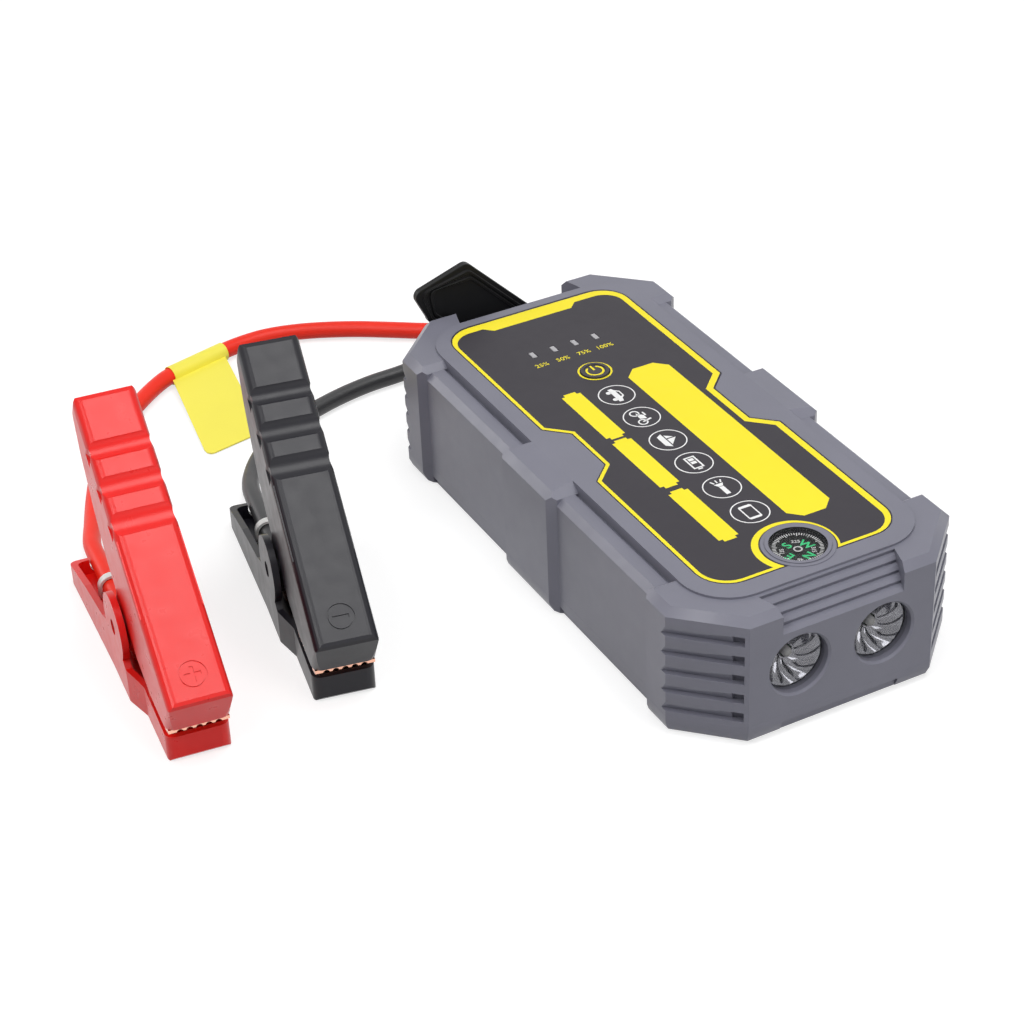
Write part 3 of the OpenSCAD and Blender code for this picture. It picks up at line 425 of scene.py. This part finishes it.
def smooth_route(points, rounds=3):
    """The route with each span halved a few times on a smooth curve, in metres."""
    line = [Vector(p) * MM for p in points]
    for _ in range(rounds):
        full = [2 * line[0] - line[1]] + line + [2 * line[-1] - line[-2]]
        finer = []
        for i in range(1, len(full) - 2):
            finer.append(full[i])
            finer.append((9 * (full[i] + full[i + 1]) - full[i - 1] - full[i + 2]) / 16)
        line = finer + [full[-2]]
    return line


def lay_cable(colour, route):
    """One round cable along a route, as a cord that ends in its clamp."""
    line = smooth_route(route)
    data = bpy.data.curves.new(f"{colour}_lead", "CURVE")
    data.dimensions = "3D"
    data.bevel_depth = CABLE_D / 2 * MM
    data.bevel_resolution = 5
    data.use_fill_caps = True
    data.materials.append(FINISHES[f"{colour}_cable"].material)
    add_spline(data, line).use_smooth = True
    made = add_object(f"{colour}_lead", data, "pack")
    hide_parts(f"{colour}_cable")
    length = sum((b - a).length for a, b in zip(line, line[1:]))


# ---------- flat print ----------

INK = 0.03
PANEL_LOW, PANEL_HIGH = extent("label_panel")
PANEL_Z = PANEL_HIGH[Z]
COMPASS = middle("compass_housing")[:Z]
BUTTON = middle("power_button")[:Z]


def arc(x, y, radius, start, end, steps=12):
    """Points along an arc, angles in degrees."""
    return [(x + radius * math.cos(math.radians(start + (end - start) * i / steps)),
             y + radius * math.sin(math.radians(start + (end - start) * i / steps)))
            for i in range(steps + 1)]


def disc(x, y, radius, steps=64):
    """The points of a whole circle."""
    return arc(x, y, radius, 0, 360, steps)[:-1]


def ring(x, y, outer, width, steps=64):
    """A circle and a smaller one inside it."""
    return [disc(x, y, outer, steps), disc(x, y, outer - width, steps)]


def box_loop(x0, y0, x1, y1):
    """The points of a rectangle."""
    return [(x0, y0), (x1, y0), (x1, y1), (x0, y1)]


def stepped_bar(x0, y0, x1, y1, step):
    """A bar with a small square step at each corner."""
    return [(x0 + step, y0), (x1 - step, y0), (x1 - step, y0 + step), (x1, y0 + step),
            (x1, y1 - step), (x1 - step, y1 - step), (x1 - step, y1), (x0 + step, y1),
            (x0 + step, y1 - step), (x0, y1 - step), (x0, y0 + step), (x0 + step, y0 + step)]


def cut_bar(x0, y0, x1, y1, cut):
    """A bar with its corners cut off."""
    return [(x0 + cut, y0), (x1 - cut, y0), (x1, y0 + cut), (x1, y1 - cut), (x1 - cut, y1),
            (x0 + cut, y1), (x0, y1 - cut), (x0, y0 + cut)]


def flat_mesh(data, z, turn=0.0, place=(0.0, 0.0)):
    """The mesh of a flat curve or text, set at a height in millimetres."""
    holder = bpy.data.objects.new(data.name, data)
    mesh = bpy.data.meshes.new_from_object(holder)
    bpy.data.objects.remove(holder)
    mesh.transform(Matrix.Translation((place[X] * MM, place[Y] * MM, (z + INK / 2) * MM))
                   @ Matrix.Rotation(math.radians(turn), 4, "Z"))
    return mesh


def outlined(loops, z):
    """A filled shape: outlines in millimetres, with holes where they lie inside others."""
    data = bpy.data.curves.new("shape", "CURVE")
    data.dimensions = "2D"
    data.fill_mode = "BOTH"
    data.extrude = INK / 2 * MM
    for loop in loops:
        add_spline(data, [(x * MM, y * MM, 0) for x, y in loop]).use_cyclic_u = True
    return flat_mesh(data, z)


def lettered(body, size, x, y, z, turn=0.0, weight=0.02):
    """Plain figures, centred on a point."""
    data = bpy.data.curves.new("figures", "FONT")
    data.body = body
    data.size = size * MM
    data.extrude = INK / 2 * MM
    data.offset = weight * size * MM
    data.resolution_u = 3
    data.align_x = "CENTER"
    data.align_y = "CENTER"
    return flat_mesh(data, z, turn, (x, y))


def printed(name, meshes, finish, body="pack"):
    """One printed piece from several flat meshes."""
    bm = bmesh.new()
    for mesh in meshes:
        bm.from_mesh(mesh)
        bpy.data.meshes.remove(mesh)
    finish_mesh(name, bm, body, finish)


# ---------- the label's print ----------

WAIST_HALF_W, WAIST_HALF_L, WAIST_SLOPE = 27.2, 18.0, 7.2
PANEL_CORNER_R = 11.0
BORDER_OUTSIDE = {"left": 0.25, "right": 0.45, "rear": 0.9, "front": 0.35, "notch": 12.0}
BORDER_INSIDE = {"left": 1.45, "right": 2.7, "rear": 4.3, "front": 1.5, "notch": 13.5,
                 "notch_x": -0.8, "bar": (-20, 16.5, 3)}
NAME_BAR, NAME_BAR_CUT = (6.4, -67.8, 22.3, 35.8), 4
TAG_X, TAG_STEP = (-19.2, -12.2), 1.3
TAGS_Y = ((0.9, 33), (-32.7, -0.3), (-67.1, -35.1))
SIGN_X, SIGN_R, SIGN_LINE, SIGN_SCALE = -2.6, 6.25, 0.4, 1.16
SIGNS_Y = (24.1, 7.8, -8.7, -24.6, -41.2, -57.4)
LIGHT_PITCH = 8.1
CHARGE_FIGURES = ("25%", "50%", "75%", "100%")
CHARGE_Y, CHARGE_SIZE, CHARGE_SHIFT = 54.1, 3.0, -0.6
BUTTON_RING_R, BUTTON_RING_LINE = 5.9, 0.65
POWER_OUTER_R, POWER_INNER_R = 3.2, 2.5
POWER_FROM, POWER_TO = 122, 418  # degrees
POWER_STROKE = (-0.34, 0.4, 0.34, 3.5)
POWER_RISE = 0.2


def waist(side, margin):
    """The narrow stretch of the label's right (1) or left (-1) edge."""
    edge, narrow = PANEL_HIGH[X] - margin, WAIST_HALF_W - margin
    half = WAIST_HALF_L + math.tan(math.radians(22.5)) * margin
    return [(side * edge, -side * half), (side * narrow, side * (WAIST_SLOPE - half)),
            (side * narrow, side * (half - WAIST_SLOPE)), (side * edge, side * half)]


def panel_corner(x, y, margins, start):
    """A quarter turn inside the corner at x and y."""
    radius = PANEL_CORNER_R - sum(margins) / 2
    return arc(x - math.copysign(radius, x), y - math.copysign(radius, y), radius,
               start, start + 90)


def panel_outline(left, right, rear, front, notch, notch_x=0.0, bar=None):
    """The label's outline, drawn in from its edges by the four margins."""
    x0, x1 = PANEL_LOW[X] + left, PANEL_HIGH[X] - right
    y0, y1 = PANEL_LOW[Y] + front, PANEL_HIGH[Y] - rear
    dip = math.degrees(math.asin((COMPASS[Y] - y0) / notch))
    points = waist(1, right) + panel_corner(x1, y1, (right, rear), 0)
    if bar:
        from_x, to_x, deep = bar
        points += [(to_x, y1), (to_x - deep, y1 - deep), (from_x + deep, y1 - deep), (from_x, y1)]
    points += panel_corner(x0, y1, (left, rear), 90) + waist(-1, left)
    points += panel_corner(x0, y0, (left, front), 180)
    points += arc(notch_x, COMPASS[Y], notch, 180 + dip, -dip, 40)
    points += panel_corner(x1, y0, (right, front), 270)
    return points


def pictograms():
    """Six plain signs, each a list of filled shapes, drawn along and up from their middle."""
    car = [[[(-3.6, -1), (3.6, -1), (3.7, 0.3), (2.2, 0.7), (1.1, 1.8), (-1.6, 1.8),
             (-2.7, 0.6), (-3.7, 0.2)], [(-1.9, 0.7), (1.3, 0.7), (0.8, 1.4), (-1.3, 1.4)]],
           [disc(-2, -1.55, 0.75, 20)], [disc(2, -1.55, 0.75, 20)]]
    bike = [ring(-2.5, -1, 1.5, 0.45, 24), ring(2.5, -1, 1.5, 0.45, 24),
            [[(-2.4, -0.7), (-0.6, 1), (1.3, 1), (0.6, -0.9), (-0.6, -0.9)]],
            [[(1.4, 2), (2.1, 2), (2.6, -0.9), (2.1, -0.9)]], [box_loop(-2.3, 1.2, -0.4, 1.7)]]
    boat = [[[(-3.6, -0.4), (3.6, -0.4), (2.3, -2.1), (-2.6, -2.1)]],
            [[(-0.4, 0), (2.6, 0), (-0.4, 2.7)]], [[(-0.9, 0), (-2.6, 0), (-0.9, 2.1)]]]
    battery = [[box_loop(-3.2, -1.7, 2.9, 1.7), box_loop(-2.7, -1.2, 2.4, 1.2)],
               [box_loop(3.1, -0.7, 3.7, 0.7)], [box_loop(-2.3, -0.8, -1.1, 0.8)],
               [box_loop(-0.7, -0.8, 0.5, 0.8)]]
    torch = [[box_loop(-0.4, -0.7, 3.6, 0.7)],
             [[(-0.6, -0.7), (-0.6, 0.7), (-1.9, 1.4), (-1.9, -1.4)]],
             [box_loop(-3.8, -0.2, -2.4, 0.2)]]
    torch += [[[(-3.5, side * 1.8), (-3.7, side * 1.4), (-2.4, side * 0.8), (-2.2, side * 1.2)]]
              for side in (1, -1)]
    phone = [[cut_bar(-3.3, -2, 3.3, 2, 0.4), box_loop(-2.3, -1.6, 2.4, 1.6)]]
    return [car, bike, boat, battery, torch, phone]


def print_yellow():
    """The label's border, name bar, tags and charge figures, and the ring round the button."""
    shapes = [outlined([panel_outline(**BORDER_OUTSIDE), panel_outline(**BORDER_INSIDE)], PANEL_Z),
              outlined([cut_bar(*NAME_BAR, NAME_BAR_CUT)], PANEL_Z),
              outlined(ring(*BUTTON, BUTTON_RING_R, BUTTON_RING_LINE), PANEL_Z)]
    for y0, y1 in TAGS_Y:
        shapes.append(outlined([stepped_bar(TAG_X[0], y0, TAG_X[1], y1, TAG_STEP)], PANEL_Z))
    lights_x = middle("led_windows")[X]
    for i, figures in enumerate(CHARGE_FIGURES):
        x = lights_x + (i - 1.5) * LIGHT_PITCH + CHARGE_SHIFT
        shapes.append(lettered(figures, CHARGE_SIZE, x, CHARGE_Y, PANEL_Z, weight=0.004))
    printed("label_yellow", shapes, "yellow")


def print_white():
    """A column of round signs down the label."""
    shapes = []
    for y, sign in zip(SIGNS_Y, pictograms()):
        shapes.append(outlined(ring(SIGN_X, y, SIGN_R, SIGN_LINE), PANEL_Z))
        for shape in sign:
            shapes.append(outlined([[(SIGN_X + SIGN_SCALE * up, y - SIGN_SCALE * along)
                                     for along, up in loop] for loop in shape], PANEL_Z))
    printed("label_white", shapes, "white")


def print_power_sign():
    """An open ring and a stroke on the button."""
    x, y = BUTTON
    z = PANEL_Z + POWER_RISE
    open_ring = (arc(x, y, POWER_OUTER_R, POWER_FROM, POWER_TO, 40)
                 + arc(x, y, POWER_INNER_R, POWER_TO, POWER_FROM, 40))
    x0, y0, x1, y1 = POWER_STROKE
    stroke = box_loop(x + x0, y + y0, x + x1, y + y1)
    printed("power_sign", [outlined([open_ring], z), outlined([stroke], z)], "yellow",
            "power_button")


# ---------- compass ----------

WELL_R, RIM_R = 8.95, 9.3
HUB_RISE = 0.6  # of the card's hub over the card
NORTH = -70  # degrees from +X
TICKS = 60
TICK_OUTER_R, LONG_TICK_R, SHORT_TICK_R, TICK_HALF_W = 7.9, 6.3, 6.8, 0.17
LETTER_R, LETTER_SIZE = 4.0, 4.5
FIGURE_R, FIGURE_SIZE = 4.8, 1.9
HUB_RING_R, HUB_RING_LINE = 1.45, 0.5


def colour_bezel():
    """The rim and outside of the compass housing, past its dark well, in the case's colour."""
    data = nodes["compass_housing"].data
    data.materials.append(FINISHES["case"].material)
    for face in data.polygons:
        radii = [math.hypot(data.vertices[v].co.x / MM - COMPASS[X],
                            data.vertices[v].co.y / MM - COMPASS[Y]) for v in face.vertices]
        if min(radii) > WELL_R and max(radii) > RIM_R:
            face.material_index = 1


def round_compass(radius, angle, across=0.0):
    """A point at a radius and an angle in degrees, moved across the radius."""
    turn = math.radians(angle)
    return (COMPASS[X] + radius * math.cos(turn) - across * math.sin(turn),
            COMPASS[Y] + radius * math.sin(turn) + across * math.cos(turn))


def print_ticks():
    """A ring of ticks under the glass, each fifth one longer."""
    glass_z = extent("compass_lens")[LOW][Z]
    ticks = []
    for i in range(TICKS):
        inner = SHORT_TICK_R if i % 5 else LONG_TICK_R
        corners = ((inner, -1), (TICK_OUTER_R, -1), (TICK_OUTER_R, 1), (inner, 1))
        ticks.append(outlined([[round_compass(radius, i * 360 / TICKS, side * TICK_HALF_W)
                                for radius, side in corners]], glass_z - INK))
    printed("dial_scale", ticks, "white")


def print_card():
    """Compass points, degree figures and a ring round the hub, on the turning card."""
    hub_z = extent("compass_card")[HIGH][Z]
    card_z = hub_z - HUB_RISE
    marks, letters = [], []
    for i, letter in enumerate("NESW"):
        turn = NORTH - 90 * i
        letters.append(lettered(letter, LETTER_SIZE, *round_compass(LETTER_R, turn), card_z,
                                turn - 90))
        marks.append(lettered(str(45 + 90 * i), FIGURE_SIZE, *round_compass(FIGURE_R, turn - 45),
                              card_z, turn - 135))
    marks.append(outlined(ring(*COMPASS, HUB_RING_R, HUB_RING_LINE, 32), hub_z))
    printed("dial_marks", marks, "white", "compass_card")
    printed("dial_letters", letters, "green", "compass_card")


# ---------- lamps ----------

BOWL_R, PETAL_START_R = 10.15, 3
# Radius, and depth from the case's front end
BOWL_PROFILE = ((1.9, 8.8), (2.2, 7.9), (2.7, 7.8), (3, 8.1), (4.2, 7.8), (5.4, 7.2), (6.6, 6.5),
                (7.8, 5.6), (8.9, 4.8), (9.7, 4.2), (BOWL_R, 3.95))
PETALS, STEPS_IN_PETAL = 9, 10
PETAL_RIDGE, RIDGE_POWER = 1.1, 1.6
PETAL_TWIST = 0.9  # radians
PETAL_SHARP_FROM = 24  # degrees
BOWL_WALL = 0.4


def petal_reflector(side):
    """A mirror bowl of hollow petals round the lamp's dome."""
    bm = bmesh.new()
    line = [bm.verts.new((r * MM, 0, -deep * MM)) for r, deep in BOWL_PROFILE]
    edges = [bm.edges.new(pair) for pair in zip(line, line[1:])]
    bmesh.ops.spin(bm, geom=line + edges, axis=(0, 0, 1), cent=(0, 0, 0), angle=math.tau,
                   steps=PETALS * STEPS_IN_PETAL, use_merge=True)
    bmesh.ops.remove_doubles(bm, verts=bm.verts, dist=SAME_PLACE)
    for vert in bm.verts:
        radius = math.hypot(vert.co.x, vert.co.y)
        around = math.atan2(vert.co.y, vert.co.x)
        out = min(1, max(0, (radius / MM - PETAL_START_R) / (BOWL_R - PETAL_START_R)))
        seam = abs(2 * (around / math.tau * PETALS % 1.0) - 1) ** RIDGE_POWER
        vert.co.z += PETAL_RIDGE * MM * math.sin(math.pi * out) * seam
        around += PETAL_TWIST * out
        vert.co.x = radius * math.cos(around)
        vert.co.y = radius * math.sin(around)
    bmesh.ops.recalc_face_normals(bm, faces=bm.faces)
    if sum(f.normal.z for f in bm.faces) < 0:
        bmesh.ops.reverse_faces(bm, faces=bm.faces)
    x, _, z = middle(f"lamp_reflector_{side}")
    front = extent("top_case")[LOW][Y]
    stand = (Matrix.Translation(Vector((x, front, z)) * MM)
             @ Matrix.Rotation(math.radians(90), 4, "X"))
    bmesh.ops.transform(bm, matrix=stand, verts=bm.verts)
    made = finish_mesh(f"petals_{side}", bm, "pack", "reflector")
    shade(made, PETAL_SHARP_FROM)
    wall = made.modifiers.new("wall", "SOLIDIFY")
    wall.thickness = BOWL_WALL * MM
    wall.offset = -1
    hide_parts(f"lamp_reflector_{side}")


# ---------- floor and light ----------

FLOOR_HALF, FLOOR_DROP = 6, 0.0002
FLOOR_TONE, FLOOR_GLOW = 0.42, 0.71
WORLD_LEVEL = 0.17
WHITE = (1, 1, 1, 1)
# Name, place, target, size and watts
LAMPS = (
    ("key", (-0.75, -0.27, 1.0), (-0.05, 0, 0), (0.5, 0.5), 5.2),
    ("overhead", (0.12, -0.2, 1.2), (-0.05, 0, 0), (0.7, 0.7), 7.8),
    ("back_left", (-0.8, 1.05, 0.6), (-0.05, 0, 0.02), (0.5, 0.4), 3.4),
    ("front_fill", (0.3, -1.1, 0.5), (0, -0.05, 0.02), (0.6, 0.5), 3.4),
)


def seen_directly(wiring):
    """1 for rays from the camera, off a gloss or through glass."""
    path = wiring.node("ShaderNodeLightPath").outputs
    camera, gloss, glass = (Level(wiring, path[f"Is {kind} Ray"])
                            for kind in ("Camera", "Glossy", "Transmission"))
    return camera | gloss | glass


def lay_floor():
    """A pale floor that looks white where it is lit, and keeps the shadow."""
    bm = bmesh.new()
    bmesh.ops.create_grid(bm, x_segments=1, y_segments=1, size=FLOOR_HALF)
    data = bpy.data.meshes.new("floor")
    bm.to_mesh(data)
    bm.free()
    floor = bpy.data.objects.new("floor", data)
    floor.location.z = -FLOOR_DROP
    bpy.context.collection.objects.link(floor)
    paper = bpy.data.materials.new("floor_paper")
    data.materials.append(paper)
    wiring = Wiring(paper, "Principled BSDF")
    wiring.fill(wiring.shader, Base_Color=(FLOOR_TONE, FLOOR_TONE, FLOOR_TONE, 1), Roughness=0.9,
                Specular_IOR_Level=0.1, Emission_Color=WHITE,
                Emission_Strength=seen_directly(wiring) * FLOOR_GLOW)


def light_world():
    """A white surrounding that lights the pack at a low level."""
    world = bpy.data.worlds.new("studio")
    bpy.context.scene.world = world
    wiring = Wiring(world, "Background")
    wiring.fill(wiring.shader, Color=WHITE,
                Strength=seen_directly(wiring) * (1 - WORLD_LEVEL) + WORLD_LEVEL)


def add_lamp(name, place, target, size, power):
    """An area lamp at a place, turned to a target."""
    data = bpy.data.lights.new(name, "AREA")
    data.shape = "RECTANGLE"
    data.size, data.size_y = size
    data.energy = power
    holder = bpy.data.objects.new(name, data)
    holder.location = place
    holder.rotation_euler = (Vector(target) - Vector(place)).to_track_quat("-Z", "Y").to_euler()
    bpy.context.collection.objects.link(holder)


# ---------- the whole ----------

aim_camera()
lay_cable("red", RED_ROUTE)
lay_cable("black", BLACK_ROUTE)

for finish, worn_by in WORN.items():
    for node in worn_by:
        wear(node, finish)
soften("top_case", "pack", "case", 0.6)
soften("base_cover", "pack", "case", 0.6)
soften("port_cover", "port_cover", "rubber", 0.4)
soften("lead_plug", "pack", "socket", 0.5)
for colour in ("red", "black"):
    for piece, finish in WORN_ON_CLAMP.items():
        wear(f"{colour}_{piece}", finish)
    smooth_curves(f"{colour}_upper_shell", f"{colour}_upper", colour)
    smooth_curves(f"{colour}_lower_shell", "pack", colour)

print_yellow()
print_white()
print_power_sign()
colour_bezel()
print_ticks()
print_card()
petal_reflector("left")
petal_reflector("right")

lay_floor()
light_world()
for lamp in LAMPS:
    add_lamp(*lamp)
bpy.context.scene.view_settings.view_transform = "Standard"
